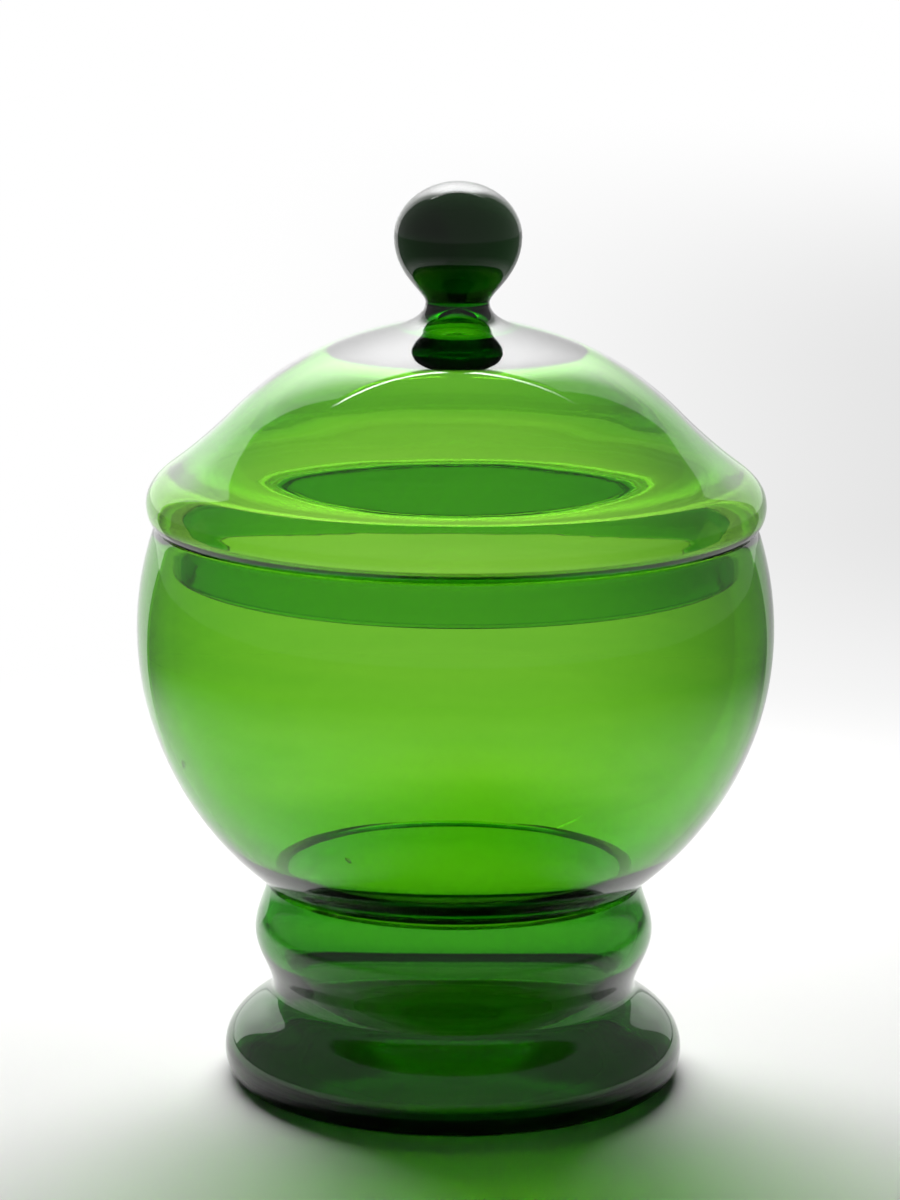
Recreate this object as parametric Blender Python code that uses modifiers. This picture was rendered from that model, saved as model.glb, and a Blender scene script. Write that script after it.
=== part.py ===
"""Covered glass storage jar: a round bowl on a rolled collar and a spread foot, with a lift-off lid.

Every wall is blown glass, so each piece is a turned shell around the Z axis. The bowl, the collar and
the foot stand on each other in one vessel. The lid's dome, its seating flange and its knob lift off
together. Metres, +Z up, origin on the table at the middle of the foot.
"""

import math

import bpy

# Bowl
BOWL_OUTER_RADIUS = 0.1000
BOWL_WALL = 0.0026  # at the widest level
BOWL_RIM_RISE = 0.0333  # from the widest level up to the cut rim
NECK_OUTER_RADIUS = 0.0595  # where the bowl closes in on the collar
NECK_WALL = 0.0055  # the gathered glass is thicker there

# Rolled collar between bowl and foot
COLLAR_HEIGHT = 0.0352
COLLAR_OUTER_RADIUS = 0.0633
COLLAR_WALL = 0.0046
COLLAR_SWELL_HEIGHT = 0.0188  # widest level above the waist
WAIST_OUTER_RADIUS = 0.0577
WAIST_WALL = 0.0060

# Foot
FOOT_HEIGHT = 0.0292
FOOT_OUTER_RADIUS = 0.0729
FOOT_WALL = 0.0085  # at the widest level
FOOT_FLOOR = 0.0110
FOOT_EQUATOR_HEIGHT = 0.0090  # widest level above the table
FOOT_EDGE_REACH = 0.0055  # how far the lower edge rounds in
FOOT_RING_WIDTH = 0.0060  # flat ring that stands on the table
FOOT_COVE = 0.0060  # pull of the hollow curve under the waist
FOOT_SHOULDER = 0.0125  # pull of the full curve above the widest level
FOOT_INNER_ROUND = 0.0050
KICK_RISE = 0.0022  # hollow of the underside
PONTIL_RADIUS = 0.0290  # ground disc in the middle of the underside

# Lid flange
FLANGE_CLEARANCE = 0.0028  # to the inside of the bowl's rim, all round
FLANGE_WALL = 0.0028
FLANGE_DEPTH = 0.0153
SEAT_THICKNESS = 0.0030
SEAT_OVERHANG = 0.0012  # of the seat past the bowl's rim
FLANGE_EDGE_ROUND = 0.0010

# Lid dome, each rise measured from the one before
LID_WALL = 0.0026
LID_OVERHANG = 0.0026  # of the lid's widest roll past the bowl's rim
ROLL_FOOT_REACH = 0.0010  # how far the roll turns in under its widest level
ROLL_RISE = 0.0032  # from the seat's top up to the widest level
SHOULDER_REACH = 0.0074
SHOULDER_RISE = 0.0110
SHOULDER_SLOPE = math.radians(36.0)
FLANK_REACH = 0.0185
FLANK_RISE = 0.0162
FLANK_SLOPE = math.radians(45.5)
CROWN_RISE = 0.0283
CROWN_SLOPE = math.radians(13.0)
CROWN_PULL = 0.0210
FLANK_PULL = 0.0070
ROLL_PULL = 0.0050
CROWN_THIN_RADIUS = 0.0380  # inside this the lid thickens towards the knob
CROWN_UNDER_RISE = 0.0020  # of the nearly flat underside of the crown
CROWN_UNDER_PULL = 0.0060
PEAK_FLARE_RADIUS = 0.0170  # of the pointed hollow under the knob, where it leaves the underside
PEAK_RADIUS = 0.0070  # of the same hollow at the crown

# Knob
KNOB_FOOT_RADIUS = 0.0193
KNOB_NECK_RADIUS = 0.0099
KNOB_NECK_RISE = 0.0070
KNOB_RADIUS = 0.0199
KNOB_BODY_RISE = 0.0205
KNOB_TOP_RISE = 0.0172
KNOB_FLARE_PULL = 0.0051
KNOB_NECK_PULL = 0.0033
KNOB_BODY_PULL = 0.0120
PEAK_RISE = 0.0058  # of the hollow's point into the neck

# Joins and facets
SEAM = 0.0003  # clearance between two pieces that touch
SIDES = 48  # facets round the axis
CURVE_STEPS = 6
BOWL_STEPS = 11
KNOB_STEPS = 5
CROWN_STEPS = 7

# Worked out from the sizes above
BOWL_INNER_RADIUS = BOWL_OUTER_RADIUS - BOWL_WALL
NECK_DROP = math.sqrt(BOWL_OUTER_RADIUS**2 - NECK_OUTER_RADIUS**2)
NECK_INNER_RADIUS = NECK_OUTER_RADIUS - NECK_WALL
BOWL_INNER_DEPTH = NECK_DROP / math.sqrt(1 - (NECK_INNER_RADIUS / BOWL_INNER_RADIUS) ** 2)
RIM_OUTER_RADIUS = math.sqrt(BOWL_OUTER_RADIUS**2 - BOWL_RIM_RISE**2)
RIM_INNER_RADIUS = BOWL_INNER_RADIUS * math.sqrt(1 - (BOWL_RIM_RISE / BOWL_INNER_DEPTH) ** 2)
COLLAR_BOTTOM = FOOT_HEIGHT + SEAM
COLLAR_TOP = COLLAR_BOTTOM + COLLAR_HEIGHT
BOWL_BOTTOM = COLLAR_TOP + SEAM
BOWL_LEVEL = BOWL_BOTTOM + NECK_DROP
RIM_LEVEL = BOWL_LEVEL + BOWL_RIM_RISE
SEAT_LEVEL = RIM_LEVEL + SEAM

FLANGE_OUTER_RADIUS = RIM_INNER_RADIUS - FLANGE_CLEARANCE
FLANGE_INNER_RADIUS = FLANGE_OUTER_RADIUS - FLANGE_WALL
SEAT_OUTER_RADIUS = RIM_OUTER_RADIUS + SEAT_OVERHANG
LID_OUTER_RADIUS = RIM_OUTER_RADIUS + LID_OVERHANG
DOME_BOTTOM = SEAT_THICKNESS + SEAM
ROLL_LEVEL = DOME_BOTTOM + ROLL_RISE
SHOULDER_RADIUS = LID_OUTER_RADIUS - SHOULDER_REACH
SHOULDER_LEVEL = ROLL_LEVEL + SHOULDER_RISE
FLANK_RADIUS = SHOULDER_RADIUS - FLANK_REACH
FLANK_LEVEL = SHOULDER_LEVEL + FLANK_RISE
CROWN_LEVEL = FLANK_LEVEL + CROWN_RISE
KNOB_BOTTOM = CROWN_LEVEL + SEAM
KNOB_NECK_LEVEL = KNOB_BOTTOM + KNOB_NECK_RISE
KNOB_BODY_LEVEL = KNOB_NECK_LEVEL + KNOB_BODY_RISE
KNOB_TOP_LEVEL = KNOB_BODY_LEVEL + KNOB_TOP_RISE

COLLECTION_NAME = "covered_glass_jar"


def ellipse_arc(centre, reach, rise, start, stop, steps):
    """Points (radius, height) on an ellipse about centre, from angle start to angle stop."""
    points = []
    for step in range(steps + 1):
        angle = start + (stop - start) * step / steps
        points.append((centre[0] + reach * math.cos(angle), centre[1] + rise * math.sin(angle)))
    return points


def bezier(start, pull_start, pull_stop, stop, steps):
    """Points of a cubic curve from start to stop, drawn by its two pull points."""
    points = []
    for step in range(steps + 1):
        t = step / steps
        weights = ((1 - t) ** 3, 3 * t * (1 - t) ** 2, 3 * t**2 * (1 - t), t**3)
        corners = (start, pull_start, pull_stop, stop)
        radius = sum(weight * corner[0] for weight, corner in zip(weights, corners))
        height = sum(weight * corner[1] for weight, corner in zip(weights, corners))
        points.append((radius, height))
    return points


def set_in(points, wall, last_wall):
    """The same line moved in, square to itself, by a wall that changes evenly along it to last_wall."""
    moved = []
    for index, (radius, height) in enumerate(points):
        before = points[max(index - 1, 0)]
        after = points[min(index + 1, len(points) - 1)]
        along = (after[0] - before[0], after[1] - before[1])
        length = math.hypot(*along)
        depth = wall + (last_wall - wall) * index / (len(points) - 1)
        moved.append((radius + depth * along[1] / length, height - depth * along[0] / length))
    return moved


def joined(*lines):
    """One line from several that follow each other, with doubled points left out."""
    points = []
    for line in lines:
        for point in line:
            if not points or math.dist(points[-1], point) > 1e-6:
                points.append(point)
    return points


def glass(name, colour, roughness):
    """A green glass of its own depth of colour."""
    material = bpy.data.materials.new(name)
    material.use_nodes = True
    shader = material.node_tree.nodes["Principled BSDF"]
    shader.inputs["Base Color"].default_value = (*colour, 1.0)
    shader.inputs["Roughness"].default_value = roughness
    shader.inputs["Metallic"].default_value = 0.0
    shader.inputs["IOR"].default_value = 1.52
    shader.inputs["Transmission Weight"].default_value = 1.0
    material.diffuse_color = (*colour, 1.0)
    return material


def turned(name, profile, closed, material, parent, collection):
    """A solid turned round Z from its profile, which runs down the outside and back up the inside."""
    vertices = [(radius, 0.0, height) for radius, height in profile]
    edges = [(index, index + 1) for index in range(len(vertices) - 1)]
    if closed:
        edges.append((len(vertices) - 1, 0))
    mesh = bpy.data.meshes.new(name)
    mesh.from_pydata(vertices, edges, [])
    mesh.materials.append(material)
    piece = bpy.data.objects.new(name, mesh)
    piece.parent = parent
    collection.objects.link(piece)
    screw = piece.modifiers.new("Turn", "SCREW")
    screw.axis = "Z"
    screw.steps = SIDES
    screw.render_steps = SIDES
    screw.use_merge_vertices = True
    screw.merge_threshold = 0.00001
    screw.use_smooth_shade = True
    return piece


def bowl_profile():
    """A sphere cut flat at its rim and at its neck, with a wall that thickens towards the neck."""
    centre = (0.0, BOWL_LEVEL)
    outside = ellipse_arc(
        centre,
        BOWL_OUTER_RADIUS,
        BOWL_OUTER_RADIUS,
        math.asin(BOWL_RIM_RISE / BOWL_OUTER_RADIUS),
        -math.asin(NECK_DROP / BOWL_OUTER_RADIUS),
        BOWL_STEPS,
    )
    inside = ellipse_arc(
        centre,
        BOWL_INNER_RADIUS,
        BOWL_INNER_DEPTH,
        -math.asin(NECK_DROP / BOWL_INNER_DEPTH),
        math.asin(BOWL_RIM_RISE / BOWL_INNER_DEPTH),
        BOWL_STEPS,
    )
    return joined(outside, inside)


def swell(top, middle, bottom):
    """The collar's rolled line, from the neck out to its widest level and in again to the waist."""
    middle_height = COLLAR_BOTTOM + COLLAR_SWELL_HEIGHT
    ends = ((top, COLLAR_TOP), (bottom, COLLAR_BOTTOM))
    halves = []
    for radius, height in ends:
        half = []
        for step in range(CURVE_STEPS + 1):
            t = step / CURVE_STEPS
            share = (1 + math.cos(math.pi * t)) / 2
            half.append((radius + (middle - radius) * share, middle_height + (height - middle_height) * t))
        halves.append(half)
    return joined(reversed(halves[0]), halves[1])


def collar_profile():
    outside = swell(NECK_OUTER_RADIUS, COLLAR_OUTER_RADIUS, WAIST_OUTER_RADIUS)
    inside = swell(NECK_INNER_RADIUS, COLLAR_OUTER_RADIUS - COLLAR_WALL, WAIST_OUTER_RADIUS - WAIST_WALL)
    return joined(outside, reversed(inside))


def foot_profile():
    """A cup that spreads from the waist, with a hollow underside and a ground disc in its middle."""
    waist = (WAIST_OUTER_RADIUS, FOOT_HEIGHT)
    equator = (FOOT_OUTER_RADIUS, FOOT_EQUATOR_HEIGHT)
    shoulder = bezier(
        waist,
        (waist[0], waist[1] - FOOT_COVE),
        (equator[0], equator[1] + FOOT_SHOULDER),
        equator,
        CURVE_STEPS,
    )
    edge_radius = FOOT_OUTER_RADIUS - FOOT_EDGE_REACH
    edge = ellipse_arc(
        (edge_radius, FOOT_EQUATOR_HEIGHT), FOOT_EDGE_REACH, FOOT_EQUATOR_HEIGHT, 0.0, -math.pi / 2, CURVE_STEPS
    )
    ring_radius = edge_radius - FOOT_RING_WIDTH
    underside = [(ring_radius, 0.0), (PONTIL_RADIUS, KICK_RISE), (0.0, KICK_RISE)]
    inside = set_in(shoulder, WAIST_WALL, FOOT_WALL)
    inside[0] = (waist[0] - WAIST_WALL, waist[1])
    inside[-1] = (equator[0] - FOOT_WALL, max(equator[1], FOOT_FLOOR + FOOT_INNER_ROUND))
    floor = ellipse_arc(
        (inside[-1][0] - FOOT_INNER_ROUND, FOOT_FLOOR + FOOT_INNER_ROUND),
        FOOT_INNER_ROUND,
        FOOT_INNER_ROUND,
        -math.pi / 2,
        0.0,
        CURVE_STEPS // 2,
    )
    inner_line = joined([(0.0, FOOT_FLOOR + KICK_RISE), (PONTIL_RADIUS, FOOT_FLOOR + KICK_RISE)], floor)
    return joined(inner_line, reversed(inside), shoulder, edge, underside)


def flange_profile():
    """The seat that lies on the bowl's rim, and the ring that hangs inside it and centres the lid."""
    bottom = -FLANGE_DEPTH
    return [
        (FLANGE_INNER_RADIUS, SEAT_THICKNESS),
        (SEAT_OUTER_RADIUS, SEAT_THICKNESS),
        (SEAT_OUTER_RADIUS, 0.0),
        (FLANGE_OUTER_RADIUS, 0.0),
        (FLANGE_OUTER_RADIUS, bottom + FLANGE_EDGE_ROUND),
        (FLANGE_OUTER_RADIUS - FLANGE_EDGE_ROUND, bottom),
        (FLANGE_INNER_RADIUS + FLANGE_EDGE_ROUND, bottom),
        (FLANGE_INNER_RADIUS, bottom + FLANGE_EDGE_ROUND),
    ]


def dome_profile():
    """A bell-shaped shell: a thick crown with a hole, a full flank, a slightly hollow shoulder, a rolled edge."""
    crown = (KNOB_FOOT_RADIUS, CROWN_LEVEL)
    flank = (FLANK_RADIUS, FLANK_LEVEL)
    shoulder = (SHOULDER_RADIUS, SHOULDER_LEVEL)
    roll = (LID_OUTER_RADIUS, ROLL_LEVEL)
    foot = (LID_OUTER_RADIUS - ROLL_FOOT_REACH, DOME_BOTTOM)

    def down(point, slope, pull):
        return (point[0] + pull * math.cos(slope), point[1] - pull * math.sin(slope))

    upper = bezier(
        crown,
        down(crown, CROWN_SLOPE, CROWN_PULL),
        down(flank, FLANK_SLOPE, -CROWN_PULL),
        flank,
        CROWN_STEPS,
    )
    lower = bezier(
        flank,
        down(flank, FLANK_SLOPE, FLANK_PULL),
        down(shoulder, SHOULDER_SLOPE, -FLANK_PULL),
        shoulder,
        CURVE_STEPS // 2,
    )
    edge = bezier(
        shoulder,
        down(shoulder, SHOULDER_SLOPE, ROLL_PULL),
        (roll[0], roll[1] + ROLL_PULL),
        roll,
        CURVE_STEPS // 2 + 1,
    )
    outside = joined(upper, lower, edge, [foot])
    inside = [point for point in set_in(outside, LID_WALL, LID_WALL) if point[0] > CROWN_THIN_RADIUS]
    inside[-1] = (foot[0] - LID_WALL, DOME_BOTTOM)
    thin = inside[0]
    under_level = thin[1] + CROWN_UNDER_RISE
    under = bezier(
        thin,
        (thin[0] - CROWN_UNDER_PULL, thin[1] + CROWN_UNDER_PULL * math.tan(CROWN_SLOPE)),
        (PEAK_FLARE_RADIUS + CROWN_UNDER_PULL, under_level),
        (PEAK_FLARE_RADIUS, under_level),
        CURVE_STEPS - 1,
    )
    peak = bezier(
        (PEAK_FLARE_RADIUS, under_level),
        (PEAK_RADIUS + CROWN_UNDER_PULL, under_level),
        (PEAK_RADIUS + PEAK_RISE / 2, CROWN_LEVEL - PEAK_RISE / 2),
        (PEAK_RADIUS, CROWN_LEVEL),
        CURVE_STEPS // 2,
    )
    return joined(outside, reversed(inside), under, peak)


def knob_profile():
    """A solid ball on a pinched neck that flares out on the crown, with the hollow's point under it."""
    neck = (KNOB_NECK_RADIUS, KNOB_NECK_LEVEL)
    body = (KNOB_RADIUS, KNOB_BODY_LEVEL)
    foot = (KNOB_FOOT_RADIUS, KNOB_BOTTOM)
    top = ellipse_arc((0.0, KNOB_BODY_LEVEL), KNOB_RADIUS, KNOB_TOP_RISE, math.pi / 2, 0.0, KNOB_STEPS)
    top[0] = (0.0, KNOB_TOP_LEVEL)
    side = bezier(
        body,
        (body[0], body[1] - KNOB_BODY_PULL),
        (neck[0], neck[1] + KNOB_NECK_PULL),
        neck,
        KNOB_STEPS,
    )
    flare = bezier(
        neck,
        (neck[0], neck[1] - KNOB_NECK_PULL),
        (foot[0] - KNOB_FLARE_PULL, foot[1] + KNOB_FLARE_PULL * math.tan(CROWN_SLOPE)),
        foot,
        KNOB_STEPS - 1,
    )
    peak = [(PEAK_RADIUS, KNOB_BOTTOM), (0.0, KNOB_BOTTOM + PEAK_RISE)]
    return joined(top, side, flare, peak)


def build():
    for old in list(bpy.data.objects):
        bpy.data.objects.remove(old)
    collection = bpy.data.collections.new(COLLECTION_NAME)
    bpy.context.scene.collection.children.link(collection)
    vessel = bpy.data.objects.new("vessel_base", None)
    lid = bpy.data.objects.new("lid_lift_axis", None)
    lid.location = (0.0, 0.0, SEAT_LEVEL)
    for empty in (vessel, lid):
        empty.empty_display_size = FOOT_HEIGHT
        collection.objects.link(empty)

    clear_green = glass("bowl_green_glass", (0.17, 0.47, 0.035), 0.04)
    collar_green = glass("collar_green_glass", (0.09, 0.32, 0.015), 0.04)
    foot_green = glass("foot_green_glass", (0.03, 0.12, 0.010), 0.06)
    dome_green = glass("dome_green_glass", (0.18, 0.48, 0.045), 0.04)
    flange_green = glass("flange_green_glass", (0.10, 0.34, 0.020), 0.06)
    knob_green = glass("knob_dark_glass", (0.012, 0.020, 0.008), 0.04)

    turned("bowl", bowl_profile(), True, clear_green, vessel, collection)
    turned("foot_collar", collar_profile(), True, collar_green, vessel, collection)
    turned("foot_base", foot_profile(), False, foot_green, vessel, collection)
    turned("lid_dome", dome_profile(), True, dome_green, lid, collection)
    turned("lid_flange", flange_profile(), True, flange_green, lid, collection)
    turned("knob", knob_profile(), False, knob_green, lid, collection)


build()
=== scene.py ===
"""Looks of the covered green glass jar: one blown vessel, one blown lid, and a plain backlit studio."""

import math

import bpy
from mathutils import Matrix, Vector


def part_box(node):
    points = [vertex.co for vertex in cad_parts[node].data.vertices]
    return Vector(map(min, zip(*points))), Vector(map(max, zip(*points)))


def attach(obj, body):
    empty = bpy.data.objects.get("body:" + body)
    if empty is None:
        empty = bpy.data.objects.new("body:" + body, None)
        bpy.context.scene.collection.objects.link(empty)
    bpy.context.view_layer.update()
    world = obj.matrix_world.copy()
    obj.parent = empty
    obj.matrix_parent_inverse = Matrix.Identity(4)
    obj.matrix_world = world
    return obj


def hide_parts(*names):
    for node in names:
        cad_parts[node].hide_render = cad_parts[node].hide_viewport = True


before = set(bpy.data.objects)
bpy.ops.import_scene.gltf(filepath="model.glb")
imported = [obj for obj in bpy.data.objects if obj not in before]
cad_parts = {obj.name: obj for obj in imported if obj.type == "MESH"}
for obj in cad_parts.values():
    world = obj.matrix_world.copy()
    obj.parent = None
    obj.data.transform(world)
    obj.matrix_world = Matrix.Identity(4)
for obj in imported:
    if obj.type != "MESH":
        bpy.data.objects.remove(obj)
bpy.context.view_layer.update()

# Sizes read from the frame, in metres
BOWL_LOW, BOWL_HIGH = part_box("bowl")
COLLAR_LOW, COLLAR_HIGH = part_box("foot_collar")
_, FOOT_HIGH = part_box("foot_base")
_, DOME_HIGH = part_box("lid_dome")
FLANGE_LOW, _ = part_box("lid_flange")
_, KNOB_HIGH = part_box("knob")

BOWL_RADIUS = BOWL_HIGH[0]
RIM_LEVEL = BOWL_HIGH[2]
NECK_LEVEL = (BOWL_LOW[2] + COLLAR_HIGH[2]) / 2
WAIST_LEVEL = (COLLAR_LOW[2] + FOOT_HIGH[2]) / 2
COLLAR_RADIUS = COLLAR_HIGH[0]
FOOT_RADIUS = FOOT_HIGH[0]
FLANGE_BOTTOM = FLANGE_LOW[2]
LID_RADIUS = DOME_HIGH[0]
CROWN_LEVEL = DOME_HIGH[2]
KNOB_RADIUS = KNOB_HIGH[0]
KNOB_TOP = KNOB_HIGH[2]

# Bowl and neck. A pull is how far a curve's pull point lies from its end
NECK_RADIUS = 0.0595
BOWL_LEVEL = NECK_LEVEL + math.sqrt(BOWL_RADIUS**2 - NECK_RADIUS**2)  # of the widest ring
BOWL_WALL = 0.0025
BOWL_LOW_WALL = 0.0034  # that the wall tends to towards the bottom
RIM_ROUND = 0.0006
RIM_ROUND_DROP = 0.0005
GROOVE_RADIUS = 0.0583  # at the bottom of the crease under the bowl
GROOVE_DROP = 0.0006
GROOVE_EDGE_REACH = 0.0004  # where the bowl turns into the crease
GROOVE_EDGE_RISE = 0.0005
NECK_WALL = 0.0058
NECK_LIP_RISE = 0.0014  # of the neck's inner edge over the crease
NECK_ROUND = 0.0007  # how far the inner edge of the neck is rounded
SHELF_RISE = 0.0165  # where the bowl's wall starts to thicken towards the neck
SHELF_SLOPE = math.radians(29.0)
SHELF_PULL = 0.0068

# Collar and foot
COLLAR_WALL = 0.0046
COLLAR_SWELL_LEVEL = WAIST_LEVEL + 0.0188
WAIST_RADIUS = 0.0577
WAIST_WALL = 0.0060
WAIST_PULL = 0.0055
FOOT_EQUATOR = 0.0090
FOOT_SHOULDER_PULL = 0.0125
FOOT_EDGE_REACH = 0.0055
FOOT_RING_WIDTH = 0.0060
FOOT_WALL = 0.0054
FOOT_FLOOR = 0.0050
FLOOR_ROUND = 0.005
FLOOR_CROWN_PULL = 0.02
FLOOR_FLAT_RADIUS = 0.04
KICK_RISE = 0.0022
KICK_PULL = 0.012
RING_PULL = 0.004
PONTIL_RADIUS = 0.0290
PONTIL_HOLLOW = 0.0016
PONTIL_EDGE = 0.001

# Seat, flange and the gutter behind them
SEAT_LEVEL = RIM_LEVEL + 0.0003
SEAT_THICKNESS = 0.0015
FLANGE_RADIUS = 0.0886
FLANGE_WALL = 0.0036
FLANGE_ROUND = 0.0015
GUTTER_EDGE_ROUND = 0.0020
GUTTER_EDGE_PULL = 0.0004
GUTTER_REACH = 0.0030
GUTTER_PULL = 0.0008
GUTTER_ROLL_PULL = 0.0012

# Lid, from the knob down to the rolled edge
KNOB_BODY_DROP = 0.0172
KNOB_BODY_PULL = 0.012
KNOB_NECK_RADIUS = 0.0099
KNOB_NECK_RISE = 0.0073
KNOB_NECK_PULL = 0.0033
KNOB_FOOT_RADIUS = 0.0193
KNOB_FLARE_PULL = 0.0051
KNOB_FLARE_RISE = 0.0012
CROWN_SLOPE = math.radians(13.0)
CROWN_PULL = 0.021
FLANK_REACH = 0.0259  # in from the widest roll, as the shoulder's
FLANK_DROP = 0.0283  # below the crown, as the shoulder's and the roll's
FLANK_SLOPE = math.radians(45.5)
FLANK_PULL = 0.007
SHOULDER_REACH = 0.0074
SHOULDER_DROP = 0.0445
SHOULDER_SLOPE = math.radians(36.0)
ROLL_DROP = 0.0555
ROLL_PULL = 0.005
LIP_REACH = 0.0024
LIP_PULL = 0.003
LIP_ROUND = 0.0012

# Inside of the lid
ROLL_WALL = 0.0017
LID_WALLS = (  # from the crown to the roll, by the share of the way
    (0.0, 0.0024),
    (0.25, 0.0022),
    (0.46, 0.0028),
    (0.66, 0.0028),
    (0.70, 0.00265),
    (0.78, 0.00177),
    (0.82, ROLL_WALL),
    (1.0, ROLL_WALL),
)
CROWN_THIN_RADIUS = 0.038  # inside this the lid thickens towards the knob
CROWN_EDGE_PULL = 0.006
CROWN_EDGE_RISE = 0.0012
CROWN_UNDER_RISE = 0.0020
CROWN_FLAT_RADIUS = 0.026
PEAK_RADIUS = 0.017  # of the pointed hollow that the bubble leaves under the knob
PEAK_PULL = 0.005
PEAK_WAIST_RADIUS = 0.008
PEAK_RISE = 0.0060

# How the shapes are drawn and set out of true
SPIN_STEPS = 192
SAME_POINT = 0.00001
SMOOTH_ANGLE = math.radians(50.0)
WAVER = 0.0007
SEED_RADIUS = 0.0006
BOWL_SEEDS = (  # place, length and lean of the bubbles in the wall
    ((-0.0825, -0.0420, BOWL_LEVEL - 0.0340), 0.0034, math.radians(-20.0)),
    ((-0.0317, -0.0755, BOWL_LEVEL - 0.0550), 0.0026, math.radians(40.0)),
)

# Glass looks
CLEAR = (1.0, 1.0, 1.0, 1.0)
GLASS_COLOUR = (0.56, 0.845, 0.05, 1.0)
GLASS_DENSITY = 790.0
GLASS_IOR = 1.52
STREAK_TINT = (0.93, 0.97, 0.90, 1.0)
STREAK_RANGE = (0.35, 0.75)  # of the turning marks' noise
FOOT_PAINTED_SHADE = (0.42, 0.43, 0.40, 1.0)  # painted shade: the foot's glass is darkened, standing for the shaded floor seen through it
FOOT_SHADE_AND_MARKS_RANGE = (WAIST_LEVEL - 0.010, WAIST_LEVEL + 0.004)  # over which the foot's painted shade and its stronger turning marks give way to the collar's
WAVE_SCALE = 30.0
WAVE_HEIGHT = 0.00016
TURNING_SCALE = 130.0
TURNING_SPREAD = (0.10, 0.10, 1.0)  # long round the jar and fine up it
TURNING_HEIGHT = 0.000012
FOOT_TURNING_HEIGHT = 0.00008
GROUND_ROUGHNESS = 0.30
GROUND_DEPTH = 0.0012

# Photo view
CAMERA_DISTANCE = 1.400
CAMERA_HEIGHT = 0.4525
CAMERA_SIDE = -0.0018
CAMERA_PITCH = math.radians(12.04)
CAMERA_ROLL = math.radians(0.34)
CAMERA_LENS = 136.65
CAMERA_SENSOR = 36.0

# Light panel behind the jar
PANEL_CENTRE = (-0.13, 0.75, 0.775)
PANEL_WIDTH = 0.92
PANEL_HEIGHT = 0.85
PANEL_STRENGTH = 12.4

# Edges of what the glass mirrors. Four values are start, full, full to and end
WALL_EDGES = (-0.88, -0.85, 0.72, 0.75)  # sideways over ahead
WALL_TOP = (0.64, 0.68)  # ahead over up
WALL_FALL = (-0.30, 0.50)  # sideways over ahead, from the left level to the right one
BOX_EDGES = (-0.72, -0.25, 0.25, 0.60)
BOX_RISE = (0.10, 1.20)  # up over ahead
TUBE_EDGES = (0.575, 0.583, 0.600, 0.608)  # ahead over up
TUBE_ENDS = (-0.64, -0.52, 0.05, 0.65)  # sideways over up
ROOM_RISE = (0.10, 0.35)
LEAST_AHEAD = 0.02  # keeps these ratios off a division by nothing

# Levels of the surroundings, where 1 is white
WALL_LEVEL_LEFT = 1.50  # in the gloss, at eye height
WALL_LEVEL_RIGHT = 1.00
SOFT_BOX_LEVEL = 7.5
TUBE_LEVEL = 13.0
ROOM_LEVEL = 0.30
SIDE_LEVEL = 0.32  # of the room, level with the jar
FLOOR_LEVEL_RIGHT = 0.55  # in the gloss, of the floor on the right
FLOOR_SIDE_LEVEL = 0.17  # in the gloss, of the floor beside the lit part
BEHIND_LEFT = 1.15  # through the glass
BEHIND_RIGHT = 0.80
BEHIND_EDGES = (-0.10, 0.10)
BEHIND_START = (0.0, 0.3)  # ahead
OVERHEAD_START = (0.66, 0.80)  # up
FILL_LEVEL = 0.01

# Floor
FLOOR_RADIUS = 4.0
FLOOR_COLOUR = (0.80, 0.80, 0.79, 1.0)
FLOOR_ROUGHNESS = 0.9
FLOOR_FADE = (0.22, 0.60)  # from the jar, over which the floor fades into white
FLOOR_LIT_START = (0.0, 0.05)
LEAST_AWAY = 0.1
GREY_LEVEL = 0.2625  # of the soft shade on the right of the backdrop
GREY_EDGES = (-0.06, 0.16)  # sideways over away from the camera
GREY_START = (0.20, 0.95)  # behind the jar
GREY_END = (1.40, 3.00)  # from the jar
DARKER_LEVEL = 0.32  # through the glass on the right
DARKER_EDGES = (0.02, 0.09)
PALER_LEVEL = 0.25  # through the glass on the left
PALER_EDGES = (-0.09, -0.04)
PALER_END = (0.48, 0.56)  # behind the jar


def ellipse_arc(centre, reach, rise, start, stop, steps):
    """Points (radius, height) on an ellipse about centre, from angle start to angle stop."""
    points = []
    for step in range(steps + 1):
        angle = start + (stop - start) * step / steps
        points.append((centre[0] + reach * math.cos(angle), centre[1] + rise * math.sin(angle)))
    return points


def bezier(start, pull_start, pull_stop, stop, steps):
    """Points of a cubic curve from start to stop, drawn by its two pull points."""
    points = []
    corners = (start, pull_start, pull_stop, stop)
    for step in range(steps + 1):
        t = step / steps
        weights = ((1 - t) ** 3, 3 * t * (1 - t) ** 2, 3 * t**2 * (1 - t), t**3)
        radius = sum(weight * corner[0] for weight, corner in zip(weights, corners))
        height = sum(weight * corner[1] for weight, corner in zip(weights, corners))
        points.append((radius, height))
    return points


def wall_at(stops, share):
    """The wall's thickness at a share of the way along, between stops (share, wall)."""
    for (start, wall), (stop, next_wall) in zip(stops, stops[1:]):
        if share <= stop:
            return wall + (next_wall - wall) * (share - start) / (stop - start)
    return stops[-1][1]


def set_in(points, stops):
    """The same line moved in, square to itself, by a wall that changes from stop to stop."""
    moved = []
    for index, (radius, height) in enumerate(points):
        before = points[max(index - 1, 0)]
        after = points[min(index + 1, len(points) - 1)]
        along = (after[0] - before[0], after[1] - before[1])
        length = math.hypot(*along)
        depth = wall_at(stops, index / (len(points) - 1))
        moved.append((radius + depth * along[1] / length, height - depth * along[0] / length))
    return moved


def joined(*lines):
    """One line from several that follow each other, with doubled points left out."""
    points = []
    for line in lines:
        for point in line:
            if not points or math.dist(points[-1], point) > SAME_POINT:
                points.append(point)
    return points


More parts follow.
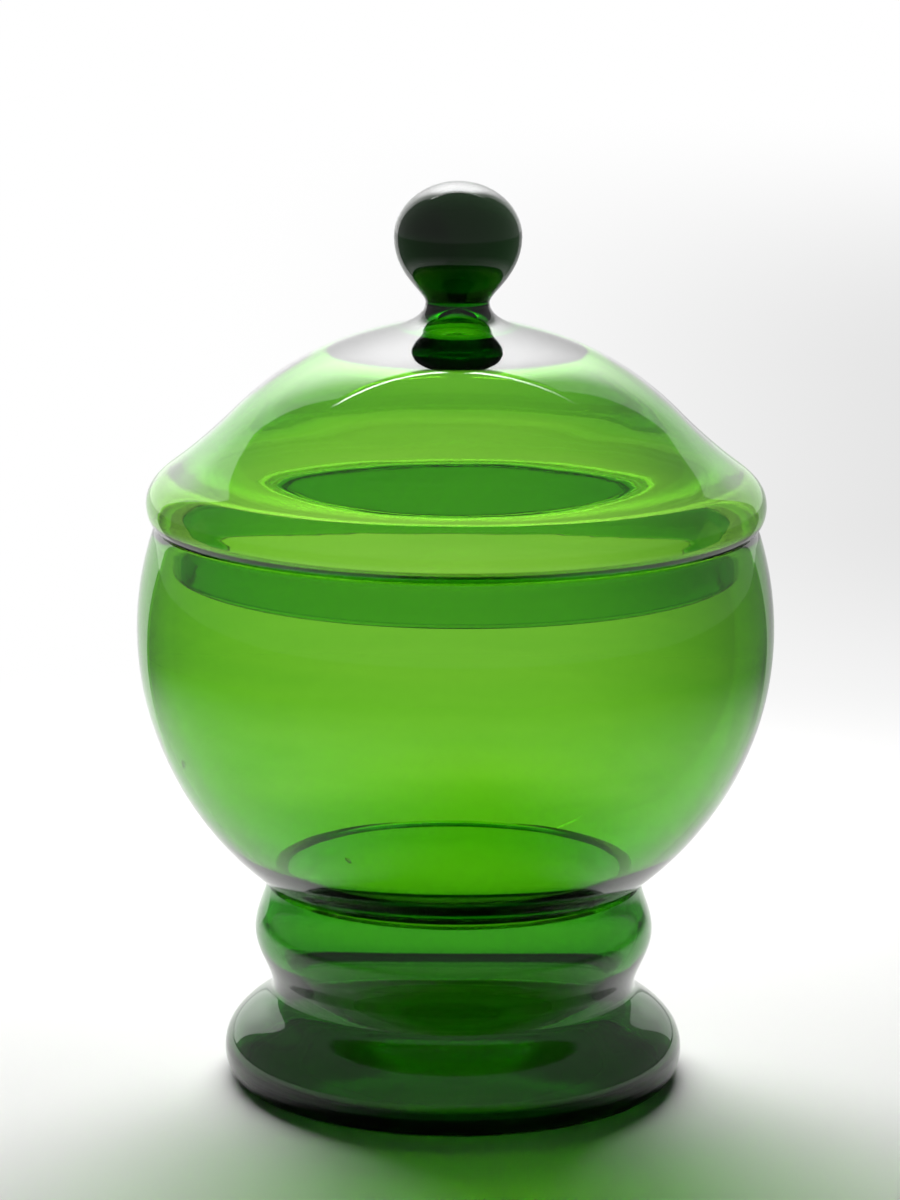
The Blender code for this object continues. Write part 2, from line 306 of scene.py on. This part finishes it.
def swell(top, middle, bottom, steps):
    """The collar's rolled line, from the neck out to its widest level and in again to the waist."""
    halves = []
    for radius, height in ((top, NECK_LEVEL), (bottom, WAIST_LEVEL)):
        half = []
        for step in range(steps + 1):
            t = step / steps
            share = (1 + math.cos(math.pi * t)) / 2
            level = COLLAR_SWELL_LEVEL + (height - COLLAR_SWELL_LEVEL) * t
            half.append((radius + (middle - radius) * share, level))
        halves.append(half)
    return joined(reversed(halves[0]), halves[1])


def bowl_lines(neck):
    """The bowl's inside, with the shelf that leads down to the neck, its rim and its outside."""
    inner_reach = BOWL_RADIUS - BOWL_WALL
    inner_depth = BOWL_RADIUS - BOWL_LOW_WALL
    centre = (0.0, BOWL_LEVEL)
    drop = BOWL_LEVEL - NECK_LEVEL
    rise = RIM_LEVEL - BOWL_LEVEL
    top_angle = math.asin(rise / BOWL_RADIUS)
    bottom_angle = -math.asin(drop / BOWL_RADIUS)
    outside = ellipse_arc(centre, BOWL_RADIUS, BOWL_RADIUS, top_angle, bottom_angle, 40)
    shelf_angle = math.asin((drop - SHELF_RISE) / inner_depth)
    inside = ellipse_arc(centre, inner_reach, inner_depth, -shelf_angle, math.asin(rise / inner_depth), 36)
    start = inside[0]
    low_pull = (neck[0] + SHELF_PULL * math.cos(SHELF_SLOPE), neck[1] + SHELF_PULL * math.sin(SHELF_SLOPE))
    high_pull = (start[0] - SHELF_PULL * math.sin(shelf_angle), start[1] - SHELF_PULL * math.cos(shelf_angle))
    shelf = bezier(neck, low_pull, high_pull, start, 14)
    shelf = [point for point in shelf if math.dist(point, neck) > NECK_ROUND]
    rim = [
        (inside[-1][0] + RIM_ROUND, RIM_LEVEL),
        (outside[0][0] - RIM_ROUND, RIM_LEVEL),
    ]
    inside[-1] = (inside[-1][0], RIM_LEVEL - RIM_ROUND_DROP)
    outside[0] = (outside[0][0], RIM_LEVEL - RIM_ROUND_DROP)
    outside[-1] = (NECK_RADIUS + GROOVE_EDGE_REACH, NECK_LEVEL + GROOVE_EDGE_RISE)
    return shelf, inside, rim, outside


def foot_lines():
    """The foot's floor and inner wall, from the middle up, and its outside, from the waist to the pontil."""
    waist = (WAIST_RADIUS, WAIST_LEVEL)
    equator = (FOOT_RADIUS, FOOT_EQUATOR)
    waist_pull = (waist[0], waist[1] - WAIST_PULL)
    shoulder = bezier(waist, waist_pull, (equator[0], equator[1] + FOOT_SHOULDER_PULL), equator, 16)
    edge_radius = FOOT_RADIUS - FOOT_EDGE_REACH
    edge = ellipse_arc((edge_radius, FOOT_EQUATOR), FOOT_EDGE_REACH, FOOT_EQUATOR, 0.0, -math.pi / 2, 10)
    ring = edge_radius - FOOT_RING_WIDTH
    kick = (PONTIL_RADIUS, KICK_RISE)
    underside = bezier((ring, 0.0), (ring - RING_PULL, 0.0), (kick[0] + KICK_PULL, kick[1]), kick, 6)
    pontil = bezier(
        kick,
        (PONTIL_RADIUS - PONTIL_EDGE, KICK_RISE + PONTIL_HOLLOW / 2),
        (PONTIL_RADIUS / 2, KICK_RISE + PONTIL_HOLLOW),
        (0.0, KICK_RISE + PONTIL_HOLLOW),
        6,
    )
    wall = set_in(shoulder, ((0.0, WAIST_WALL), (1.0, FOOT_WALL)))
    wall[-1] = (equator[0] - FOOT_WALL, FOOT_FLOOR + FLOOR_ROUND)
    corner = (wall[-1][0] - FLOOR_ROUND, FOOT_FLOOR + FLOOR_ROUND)
    corner_line = ellipse_arc(corner, FLOOR_ROUND, FLOOR_ROUND, -math.pi / 2, 0.0, 5)
    middle = FOOT_FLOOR + KICK_RISE
    floor = bezier(
        (0.0, middle), (FLOOR_CROWN_PULL, middle), (FLOOR_FLAT_RADIUS, FOOT_FLOOR), corner_line[0], 10
    )
    return joined(floor, corner_line, reversed(wall)), joined(shoulder, edge, underside, pontil)


def vessel_outline():
    """From the middle of the floor up the inside, over the rim and down the outside to the pontil."""
    neck = (NECK_RADIUS - NECK_WALL, NECK_LEVEL + NECK_LIP_RISE)
    shelf, bowl_inside, rim, bowl_outside = bowl_lines(neck)
    foot_inside, foot_outside = foot_lines()
    collar_outside = swell(NECK_RADIUS, COLLAR_RADIUS, WAIST_RADIUS, 12)
    collar_outside[0] = (GROOVE_RADIUS, NECK_LEVEL - GROOVE_DROP)
    collar_inside = swell(neck[0], COLLAR_RADIUS - COLLAR_WALL, WAIST_RADIUS - WAIST_WALL, 12)
    collar_inside = [point for point in collar_inside if point[1] < NECK_LEVEL - NECK_ROUND]
    neck_inside = bezier(collar_inside[0], neck, neck, shelf[0], 10)
    return joined(
        foot_inside,
        reversed(collar_inside),
        neck_inside,
        shelf,
        bowl_inside,
        rim,
        bowl_outside,
        collar_outside,
        foot_outside,
    )


def downhill(point, slope, pull):
    """The pull point that leaves a point of the lid's outline outwards and down its slope."""
    return (point[0] + pull * math.cos(slope), point[1] - pull * math.sin(slope))


def knob_lines(crown):
    """The knob from its top to its pinched neck, and the flare that meets the crown."""
    body = (KNOB_RADIUS, KNOB_TOP - KNOB_BODY_DROP)
    neck = (KNOB_NECK_RADIUS, CROWN_LEVEL + KNOB_NECK_RISE)
    top = ellipse_arc((0.0, body[1]), KNOB_RADIUS, KNOB_TOP - body[1], math.pi / 2, 0.0, 14)
    top[0] = (0.0, KNOB_TOP)
    side = bezier(body, (body[0], body[1] - KNOB_BODY_PULL), (neck[0], neck[1] + KNOB_NECK_PULL), neck, 14)
    flare_pull = (crown[0] - KNOB_FLARE_PULL, crown[1] + KNOB_FLARE_RISE)
    flare = bezier(neck, (neck[0], neck[1] - KNOB_NECK_PULL), flare_pull, crown, 8)
    return joined(top, side, flare)


def dome_line(crown, roll):
    """The lid's outside, from the knob's foot over flank and shoulder to the widest roll."""
    flank = (LID_RADIUS - FLANK_REACH, CROWN_LEVEL - FLANK_DROP)
    shoulder = (LID_RADIUS - SHOULDER_REACH, CROWN_LEVEL - SHOULDER_DROP)
    crown_pull = downhill(crown, CROWN_SLOPE, CROWN_PULL)
    upper = bezier(crown, crown_pull, downhill(flank, FLANK_SLOPE, -CROWN_PULL), flank, 22)
    flank_pull = downhill(flank, FLANK_SLOPE, FLANK_PULL)
    lower = bezier(flank, flank_pull, downhill(shoulder, SHOULDER_SLOPE, -FLANK_PULL), shoulder, 10)
    shoulder_pull = downhill(shoulder, SHOULDER_SLOPE, ROLL_PULL)
    edge = bezier(shoulder, shoulder_pull, (roll[0], roll[1] + ROLL_PULL), roll, 10)
    return joined(upper, lower, edge)


def seat_lines(roll, roll_inner):
    """Under the roll and the seat, round the flange, and through the gutter up to the inside of the roll."""
    lip_seat = (LID_RADIUS - LIP_REACH, SEAT_LEVEL)
    lip_pull = (lip_seat[0] + LIP_ROUND, SEAT_LEVEL + LIP_ROUND)
    lip = bezier(roll, (roll[0], roll[1] - LIP_PULL), lip_pull, lip_seat, 6)
    corner = (FLANGE_RADIUS, SEAT_LEVEL)
    flange_outside = bezier(
        (FLANGE_RADIUS + FLANGE_ROUND, SEAT_LEVEL),
        corner,
        corner,
        (FLANGE_RADIUS, SEAT_LEVEL - FLANGE_ROUND),
        4,
    )
    half_wall = FLANGE_WALL / 2
    edge_centre = (FLANGE_RADIUS - half_wall, FLANGE_BOTTOM + half_wall)
    flange_edge = ellipse_arc(edge_centre, half_wall, half_wall, 0.0, -math.pi, 8)
    flange_inner = FLANGE_RADIUS - FLANGE_WALL
    gutter_level = SEAT_LEVEL + SEAT_THICKNESS
    gutter_edge = bezier(
        (flange_inner, gutter_level - GUTTER_EDGE_ROUND),
        (flange_inner, gutter_level - GUTTER_EDGE_PULL),
        (flange_inner + GUTTER_EDGE_PULL, gutter_level),
        (flange_inner + GUTTER_EDGE_ROUND, gutter_level),
        5,
    )
    gutter = bezier(
        (roll_inner[0] - GUTTER_REACH, gutter_level),
        (roll_inner[0] - GUTTER_PULL, gutter_level),
        (roll_inner[0], gutter_level + GUTTER_ROLL_PULL),
        roll_inner,
        8,
    )
    return joined(lip, flange_outside, flange_edge, gutter_edge, gutter)


def lid_outline():
    """From the top of the knob down the outside, round the flange and up the inside to the peak."""
    crown = (KNOB_FOOT_RADIUS, CROWN_LEVEL)
    roll = (LID_RADIUS, CROWN_LEVEL - ROLL_DROP)
    roll_inner = (LID_RADIUS - ROLL_WALL, roll[1])
    dome = dome_line(crown, roll)
    inside = set_in(dome, LID_WALLS)
    inside[-1] = roll_inner
    inside = [point for point in inside if point[0] > CROWN_THIN_RADIUS]
    start = inside[0]
    under_level = start[1] + CROWN_UNDER_RISE
    crown_inner = bezier(
        start,
        (start[0] - CROWN_EDGE_PULL, start[1] + CROWN_EDGE_RISE),
        (CROWN_FLAT_RADIUS, under_level),
        (PEAK_RADIUS, under_level),
        10,
    )
    peak = bezier(
        (PEAK_RADIUS, under_level),
        (PEAK_RADIUS - PEAK_PULL, under_level),
        (PEAK_WAIST_RADIUS, CROWN_LEVEL),
        (0.0, CROWN_LEVEL + PEAK_RISE),
        10,
    )
    return joined(
        knob_lines(crown),
        dome,
        seat_lines(roll, roll_inner),
        reversed(inside),
        crown_inner,
        peak,
    )


def spun_glass(name, outline):
    """Draws the outline vertex by vertex from a small plane's merged corner, and spins it round Z."""
    bpy.ops.object.select_all(action="DESELECT")
    bpy.ops.mesh.primitive_plane_add(size=0.001, location=(0.0, 0.0, 0.0))
    piece = bpy.context.object
    piece.name = name
    piece.data.name = name
    bpy.ops.object.mode_set(mode="EDIT")
    bpy.ops.mesh.select_mode(type="VERT")
    bpy.ops.mesh.select_all(action="SELECT")
    bpy.ops.mesh.merge(type="CENTER")
    first = outline[0]
    bpy.ops.mesh.select_all(action="SELECT")
    bpy.ops.transform.translate(value=(first[0], 0.0, first[1]))
    for before, after in zip(outline, outline[1:]):
        step = (after[0] - before[0], 0.0, after[1] - before[1])
        bpy.ops.mesh.extrude_vertices_move(TRANSFORM_OT_translate={"value": step})
    bpy.ops.mesh.select_all(action="SELECT")
    bpy.ops.mesh.spin(steps=SPIN_STEPS, angle=2 * math.pi, center=(0.0, 0.0, 0.0), axis=(0.0, 0.0, 1.0))
    bpy.ops.mesh.select_all(action="SELECT")
    bpy.ops.mesh.remove_doubles(threshold=SAME_POINT)
    bpy.ops.mesh.normals_make_consistent(inside=False)
    bpy.ops.object.mode_set(mode="OBJECT")
    bpy.ops.object.shade_smooth_by_angle(angle=SMOOTH_ANGLE)
    return piece


def set_over(piece, way, scale, basis):
    """Lets the hand-blown shape wander along one axis, by a soft cloud over the whole piece."""
    cloud = bpy.data.textures.new(piece.name + "_sag_" + way.lower(), "CLOUDS")
    cloud.noise_scale = scale
    cloud.noise_depth = 1
    cloud.noise_basis = basis
    bpy.context.view_layer.objects.active = piece
    displace = piece.modifiers.new("Sag", "DISPLACE")
    displace.texture = cloud
    displace.texture_coords = "LOCAL"
    displace.direction = way
    displace.strength = WAVER
    displace.mid_level = 0.5
    bpy.ops.object.modifier_apply(modifier="Sag")


def add_seed(piece, place, length, lean):
    """A small stretched bubble inside the wall, turned inside out because it holds air."""
    bpy.ops.object.select_all(action="DESELECT")
    bpy.ops.mesh.primitive_uv_sphere_add(segments=12, ring_count=8, radius=SEED_RADIUS, location=place)
    bpy.ops.transform.resize(value=(1.0, 1.0, length / (2 * SEED_RADIUS)))
    bpy.ops.transform.rotate(value=lean, orient_axis="Y", center_override=place)
    bpy.ops.object.transform_apply(location=True, rotation=True, scale=True)
    bpy.ops.object.mode_set(mode="EDIT")
    bpy.ops.mesh.select_all(action="SELECT")
    bpy.ops.mesh.flip_normals()
    bpy.ops.object.mode_set(mode="OBJECT")
    bpy.ops.object.shade_smooth()
    piece.select_set(True)
    bpy.context.view_layer.objects.active = piece
    bpy.ops.object.join()


def maths(tree, operation, first, second):
    """One Math node; each input is a socket or a number."""
    node = tree.nodes.new("ShaderNodeMath")
    node.operation = operation
    for index, value in enumerate((first, second)):
        if isinstance(value, (int, float)):
            node.inputs[index].default_value = value
        else:
            tree.links.new(value, node.inputs[index])
    return node.outputs[0]


def ramp(tree, value, low, high, start, stop):
    """Smooth change from start to stop while value goes from low to high."""
    node = tree.nodes.new("ShaderNodeMapRange")
    node.interpolation_type = "SMOOTHSTEP"
    node.inputs["From Min"].default_value = low
    node.inputs["From Max"].default_value = high
    node.inputs["To Min"].default_value = start
    node.inputs["To Max"].default_value = stop
    tree.links.new(value, node.inputs["Value"])
    return node.outputs[0]


def window(tree, value, start, full, full_end, end):
    """1 while value lies between full and full_end, fading out to start and end."""
    rising = ramp(tree, value, start, full, 0.0, 1.0)
    return maths(tree, "MULTIPLY", rising, ramp(tree, value, full_end, end, 1.0, 0.0))


def two_colours(tree, first, second, factor):
    """A mix from the first colour to the second one."""
    mix = tree.nodes.new("ShaderNodeMix")
    mix.data_type = "RGBA"
    mix.inputs["A"].default_value = first
    mix.inputs["B"].default_value = second
    tree.links.new(factor, mix.inputs["Factor"])
    return mix


def blown_surface():
    """Shared by both glasses: faint streaks of tint, the foot's glass darkened as painted shade, slow waves
    with turning marks, and a ground face.
    """
    group = bpy.data.node_groups.new("blown_surface", "ShaderNodeTree")
    group.interface.new_socket("Ground Level", in_out="INPUT", socket_type="NodeSocketFloat")
    group.interface.new_socket("Ground Depth", in_out="INPUT", socket_type="NodeSocketFloat")
    group.interface.new_socket("Tint", in_out="OUTPUT", socket_type="NodeSocketColor")
    group.interface.new_socket("Roughness", in_out="OUTPUT", socket_type="NodeSocketFloat")
    group.interface.new_socket("Height", in_out="OUTPUT", socket_type="NodeSocketFloat")
    entry = group.nodes.new("NodeGroupInput")
    leave = group.nodes.new("NodeGroupOutput")
    where = group.nodes.new("ShaderNodeTexCoord")
    split = group.nodes.new("ShaderNodeSeparateXYZ")
    group.links.new(where.outputs["Object"], split.inputs[0])
    level = split.outputs[2]

    wave = group.nodes.new("ShaderNodeTexNoise")
    wave.inputs["Scale"].default_value = WAVE_SCALE
    wave.inputs["Detail"].default_value = 1.0
    group.links.new(where.outputs["Object"], wave.inputs["Vector"])
    spread = group.nodes.new("ShaderNodeMapping")
    spread.inputs["Scale"].default_value = TURNING_SPREAD
    group.links.new(where.outputs["Object"], spread.inputs["Vector"])
    turning = group.nodes.new("ShaderNodeTexNoise")
    turning.inputs["Scale"].default_value = TURNING_SCALE
    turning.inputs["Detail"].default_value = 2.0
    group.links.new(spread.outputs["Vector"], turning.inputs["Vector"])
    marks = ramp(group, level, *FOOT_SHADE_AND_MARKS_RANGE, FOOT_TURNING_HEIGHT, TURNING_HEIGHT)
    height = maths(group, "MULTIPLY", wave.outputs[0], WAVE_HEIGHT)
    height = maths(group, "ADD", height, maths(group, "MULTIPLY", turning.outputs[0], marks))
    group.links.new(height, leave.inputs["Height"])

    streaky = ramp(group, turning.outputs[0], *STREAK_RANGE, 0.0, 1.0)
    streaks = two_colours(group, CLEAR, STREAK_TINT, streaky)
    # Painted shade: the foot's glass is darkened, standing for the shaded floor seen through it.
    above_foot = ramp(group, level, *FOOT_SHADE_AND_MARKS_RANGE, 0.0, 1.0)
    tint = two_colours(group, FOOT_PAINTED_SHADE, CLEAR, above_foot)
    group.links.new(streaks.outputs["Result"], tint.inputs["B"])
    group.links.new(tint.outputs["Result"], leave.inputs["Tint"])

    gap = maths(group, "SUBTRACT", level, entry.outputs["Ground Level"])
    gap = maths(group, "ABSOLUTE", gap, 0.0)
    ground = maths(group, "LESS_THAN", gap, entry.outputs["Ground Depth"])
    group.links.new(maths(group, "MULTIPLY", ground, GROUND_ROUGHNESS), leave.inputs["Roughness"])
    return group


def glass_material(name, surface, ground_level, ground_depth):
    """Clear green glass whose colour deepens with the length of the way through it."""
    material = bpy.data.materials.new(name)
    material.use_nodes = True
    nodes = material.node_tree.nodes
    links = material.node_tree.links
    shader = nodes["Principled BSDF"]
    skin = nodes.new("ShaderNodeGroup")
    skin.node_tree = surface
    skin.inputs["Ground Level"].default_value = ground_level
    skin.inputs["Ground Depth"].default_value = ground_depth
    links.new(skin.outputs["Tint"], shader.inputs["Base Color"])
    links.new(skin.outputs["Roughness"], shader.inputs["Roughness"])
    bump = nodes.new("ShaderNodeBump")
    bump.inputs["Distance"].default_value = 1.0
    links.new(skin.outputs["Height"], bump.inputs["Height"])
    links.new(bump.outputs["Normal"], shader.inputs["Normal"])
    shader.inputs["IOR"].default_value = GLASS_IOR
    shader.inputs["Transmission Weight"].default_value = 1.0
    absorb = nodes.new("ShaderNodeVolumeAbsorption")
    absorb.inputs["Color"].default_value = GLASS_COLOUR
    absorb.inputs["Density"].default_value = GLASS_DENSITY
    links.new(absorb.outputs["Volume"], nodes["Material Output"].inputs["Volume"])
    return material


def picture_rays(tree):
    """Masks of the rays that make the picture: seen straight, mirrored on the way, or only let through."""
    path = tree.nodes.new("ShaderNodeLightPath")
    direct = maths(tree, "LESS_THAN", path.outputs["Diffuse Depth"], 0.5)
    bounced = maths(tree, "GREATER_THAN", path.outputs["Glossy Depth"], 0.5)
    looking = maths(tree, "MAXIMUM", path.outputs["Is Glossy Ray"], path.outputs["Is Transmission Ray"])
    mirrored = maths(tree, "MULTIPLY", maths(tree, "MULTIPLY", bounced, looking), direct)
    through = maths(tree, "MULTIPLY", path.outputs["Is Transmission Ray"], direct)
    through = maths(tree, "MULTIPLY", through, maths(tree, "SUBTRACT", 1.0, bounced))
    return path.outputs["Is Camera Ray"], mirrored, through


def mirrored_light(tree, side, depth, height):
    """What the glass mirrors: a wall behind the jar, a soft box high on it, a tube over it and a dim room."""
    ahead = maths(tree, "MAXIMUM", depth, LEAST_AHEAD)
    across = maths(tree, "DIVIDE", side, ahead)
    up = maths(tree, "DIVIDE", height, ahead)
    above = maths(tree, "MAXIMUM", height, LEAST_AHEAD)
    lean = maths(tree, "DIVIDE", depth, above)
    along = maths(tree, "DIVIDE", side, above)

    wall = window(tree, across, *WALL_EDGES)
    wall = maths(tree, "MULTIPLY", wall, ramp(tree, lean, *WALL_TOP, 0.0, 1.0))
    box = window(tree, across, *BOX_EDGES)
    box = maths(tree, "MULTIPLY", box, ramp(tree, up, *BOX_RISE, 0.0, SOFT_BOX_LEVEL))
    shine = maths(tree, "ADD", box, ramp(tree, across, *WALL_FALL, WALL_LEVEL_LEFT, WALL_LEVEL_RIGHT))
    shine = maths(tree, "MULTIPLY", shine, wall)
    tube = window(tree, lean, *TUBE_EDGES)
    tube = maths(tree, "MULTIPLY", tube, window(tree, along, *TUBE_ENDS))
    shine = maths(tree, "ADD", shine, maths(tree, "MULTIPLY", tube, TUBE_LEVEL))
    room = ramp(tree, maths(tree, "ABSOLUTE", height, 0.0), *ROOM_RISE, SIDE_LEVEL, ROOM_LEVEL)
    return maths(tree, "MAXIMUM", shine, room)


def light_behind(tree, side, depth, height):
    """What shows through the glass: white all round, a little dimmer to the right, dark overhead."""
    ahead = maths(tree, "MAXIMUM", depth, LEAST_AHEAD)
    across = maths(tree, "DIVIDE", side, ahead)
    level = ramp(tree, across, *BEHIND_EDGES, BEHIND_LEFT, BEHIND_RIGHT)
    level = maths(tree, "SUBTRACT", level, 1.0)
    level = maths(tree, "MULTIPLY", level, ramp(tree, depth, *BEHIND_START, 0.0, 1.0))
    level = maths(tree, "ADD", level, 1.0)
    return maths(tree, "MULTIPLY", level, ramp(tree, height, *OVERHEAD_START, 1.0, ROOM_LEVEL))


def studio_world():
    """White to the eye and through the glass, the studio in its gloss, and next to no fill on the floor."""
    world = bpy.data.worlds.new("studio")
    bpy.context.scene.world = world
    world.use_nodes = True
    tree = world.node_tree
    tree.nodes.clear()
    camera, mirrored, through = picture_rays(tree)
    where = tree.nodes.new("ShaderNodeTexCoord")
    split = tree.nodes.new("ShaderNodeSeparateXYZ")
    tree.links.new(where.outputs["Generated"], split.inputs[0])
    side, depth, height = split.outputs
    level = maths(tree, "MULTIPLY", mirrored_light(tree, side, depth, height), mirrored)
    behind = maths(tree, "MULTIPLY", light_behind(tree, side, depth, height), through)
    level = maths(tree, "ADD", level, behind)
    level = maths(tree, "ADD", level, camera)
    unseen = maths(tree, "SUBTRACT", 1.0, camera)
    unseen = maths(tree, "SUBTRACT", unseen, mirrored)
    unseen = maths(tree, "SUBTRACT", unseen, through)
    level = maths(tree, "ADD", level, maths(tree, "MULTIPLY", unseen, FILL_LEVEL))
    sky = tree.nodes.new("ShaderNodeBackground")
    sky.inputs["Color"].default_value = CLEAR
    tree.links.new(level, sky.inputs["Strength"])
    output = tree.nodes.new("ShaderNodeOutputWorld")
    tree.links.new(sky.outputs[0], output.inputs["Surface"])


def panel_material():
    """Shines on the floor, straight or through the jar, and is out of sight in the picture itself."""
    material = bpy.data.materials.new("panel_glow")
    material.use_nodes = True
    tree = material.node_tree
    tree.nodes.remove(tree.nodes["Principled BSDF"])
    camera, mirrored, through = picture_rays(tree)
    face = tree.nodes.new("ShaderNodeNewGeometry")
    hidden = maths(tree, "MAXIMUM", camera, mirrored)
    hidden = maths(tree, "MAXIMUM", hidden, through)
    hidden = maths(tree, "MAXIMUM", hidden, face.outputs["Backfacing"])
    glow = tree.nodes.new("ShaderNodeEmission")
    glow.inputs["Strength"].default_value = PANEL_STRENGTH
    clear = tree.nodes.new("ShaderNodeBsdfTransparent")
    mix = tree.nodes.new("ShaderNodeMixShader")
    tree.links.new(hidden, mix.inputs[0])
    tree.links.new(glow.outputs[0], mix.inputs[1])
    tree.links.new(clear.outputs[0], mix.inputs[2])
    tree.links.new(mix.outputs[0], tree.nodes["Material Output"].inputs["Surface"])
    return material


def back_panel():
    """A tall soft panel behind the jar, which throws its green shadow towards the camera."""
    bpy.ops.object.select_all(action="DESELECT")
    bpy.ops.mesh.primitive_plane_add(size=1.0, location=PANEL_CENTRE, rotation=(math.pi / 2, 0.0, 0.0))
    panel = bpy.context.object
    panel.name = "back_panel"
    bpy.ops.transform.resize(value=(PANEL_WIDTH, 1.0, PANEL_HEIGHT))
    panel.data.materials.append(panel_material())


def mirrored_floor(tree, side, depth, mirrored):
    """How far the floor is dimmed in the gloss: lit behind the jar, less on the right, dark at the sides."""
    across = maths(tree, "DIVIDE", side, maths(tree, "MAXIMUM", depth, LEAST_AHEAD))
    lit = window(tree, across, *WALL_EDGES)
    lit = maths(tree, "MULTIPLY", lit, ramp(tree, depth, *FLOOR_LIT_START, 0.0, 1.0))
    lit = maths(tree, "MULTIPLY", lit, ramp(tree, across, *WALL_FALL, 1.0, FLOOR_LEVEL_RIGHT))
    lit = maths(tree, "MAXIMUM", lit, FLOOR_SIDE_LEVEL)
    return maths(tree, "MULTIPLY", maths(tree, "SUBTRACT", 1.0, lit), mirrored)


def backdrop_shade(tree, across, depth, distance, mirrored):
    """The soft painted shade on the right of the backdrop, out of the gloss."""
    reach = ramp(tree, depth, *GREY_START, 0.0, 1.0)
    reach = maths(tree, "MULTIPLY", reach, ramp(tree, distance, *GREY_END, 1.0, 0.0))
    shade = maths(tree, "MULTIPLY", ramp(tree, across, *GREY_EDGES, 0.0, GREY_LEVEL), reach)
    return maths(tree, "MULTIPLY", shade, maths(tree, "SUBTRACT", 1.0, mirrored))


def shade_through(tree, across, depth, through):
    """What the floor adds to the glass in front of it: darker on the right as painted shade, paler on the
    left as painted light.
    """
    darker = ramp(tree, across, *DARKER_EDGES, 0.0, DARKER_LEVEL)
    paler = ramp(tree, across, *PALER_EDGES, PALER_LEVEL, 0.0)
    paler = maths(tree, "MULTIPLY", paler, ramp(tree, depth, *PALER_END, 1.0, 0.0))
    return maths(tree, "MULTIPLY", maths(tree, "SUBTRACT", darker, paler), through)


def floor_material():
    """Pale matt floor that fades into the white surroundings away from the jar."""
    material = bpy.data.materials.new("pale_floor")
    material.use_nodes = True
    tree = material.node_tree
    shader = tree.nodes["Principled BSDF"]
    shader.inputs["Base Color"].default_value = FLOOR_COLOUR
    shader.inputs["Roughness"].default_value = FLOOR_ROUGHNESS
    shader.inputs["Specular IOR Level"].default_value = 0.0
    where = tree.nodes.new("ShaderNodeTexCoord")
    split = tree.nodes.new("ShaderNodeSeparateXYZ")
    tree.links.new(where.outputs["Object"], split.inputs[0])
    side, depth, _ = split.outputs
    length = tree.nodes.new("ShaderNodeVectorMath")
    length.operation = "LENGTH"
    tree.links.new(where.outputs["Object"], length.inputs[0])
    distance = length.outputs["Value"]
    away = maths(tree, "ADD", depth, CAMERA_DISTANCE)
    across = maths(tree, "DIVIDE", side, maths(tree, "MAXIMUM", away, LEAST_AWAY))

    _, mirrored, through = picture_rays(tree)
    dim = mirrored_floor(tree, side, depth, mirrored)
    dim = maths(tree, "ADD", dim, backdrop_shade(tree, across, depth, distance, mirrored))
    dim = maths(tree, "ADD", dim, shade_through(tree, across, depth, through))
    glow = tree.nodes.new("ShaderNodeEmission")
    tree.links.new(maths(tree, "SUBTRACT", 1.0, dim), glow.inputs["Strength"])
    mix = tree.nodes.new("ShaderNodeMixShader")
    tree.links.new(ramp(tree, distance, *FLOOR_FADE, 0.0, 1.0), mix.inputs[0])
    tree.links.new(shader.outputs[0], mix.inputs[1])
    tree.links.new(glow.outputs[0], mix.inputs[2])
    tree.links.new(mix.outputs[0], tree.nodes["Material Output"].inputs["Surface"])
    return material


def studio_floor():
    """A wide round floor under the jar."""
    bpy.ops.object.select_all(action="DESELECT")
    bpy.ops.mesh.primitive_circle_add(
        vertices=96, radius=FLOOR_RADIUS, fill_type="NGON", location=(0.0, 0.0, 0.0)
    )
    floor = bpy.context.object
    floor.name = "studio_floor"
    floor.data.materials.append(floor_material())


def photo_camera():
    """The photo's view: from the front, a little above the knob, looking down."""
    data = bpy.data.cameras.new("photo_view")
    data.lens = CAMERA_LENS
    data.sensor_width = CAMERA_SENSOR
    data.dof.use_dof = False
    camera = bpy.data.objects.new("photo_view", data)
    bpy.context.scene.collection.objects.link(camera)
    place = Matrix.Translation(Vector((CAMERA_SIDE, -CAMERA_DISTANCE, CAMERA_HEIGHT)))
    tilt = Matrix.Rotation(math.pi / 2 - CAMERA_PITCH, 4, "X")
    roll = Matrix.Rotation(CAMERA_ROLL, 4, "Z")
    camera.matrix_world = place @ tilt @ roll
    bpy.context.scene.camera = camera


def main():
    """Sets the studio and blows the vessel and the lid."""
    scene = bpy.context.scene
    scene.view_settings.view_transform = "Standard"
    scene.cycles.max_bounces = 32
    scene.cycles.transmission_bounces = 32
    scene.cycles.glossy_bounces = 16
    scene.cycles.blur_glossy = 0.0
    photo_camera()
    studio_world()
    back_panel()
    studio_floor()

    surface = blown_surface()
    vessel = spun_glass("vessel_glass", vessel_outline())
    set_over(vessel, "X", 0.09, "ORIGINAL_PERLIN")
    set_over(vessel, "Y", 0.11, "IMPROVED_PERLIN")
    for place, length, lean in BOWL_SEEDS:
        add_seed(vessel, place, length, lean)
    vessel.data.materials.append(glass_material("vessel_green_glass", surface, 0.0, GROUND_DEPTH))
    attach(vessel, "vessel")
    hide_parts("bowl", "foot_collar", "foot_base")

    lid = spun_glass("lid_glass", lid_outline())
    set_over(lid, "X", 0.06, "IMPROVED_PERLIN")
    set_over(lid, "Y", 0.07, "ORIGINAL_PERLIN")
    lid.data.materials.append(glass_material("lid_green_glass", surface, SEAT_LEVEL, 0.0))
    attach(lid, "lid")
    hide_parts("lid_dome", "lid_flange", "knob")


main()
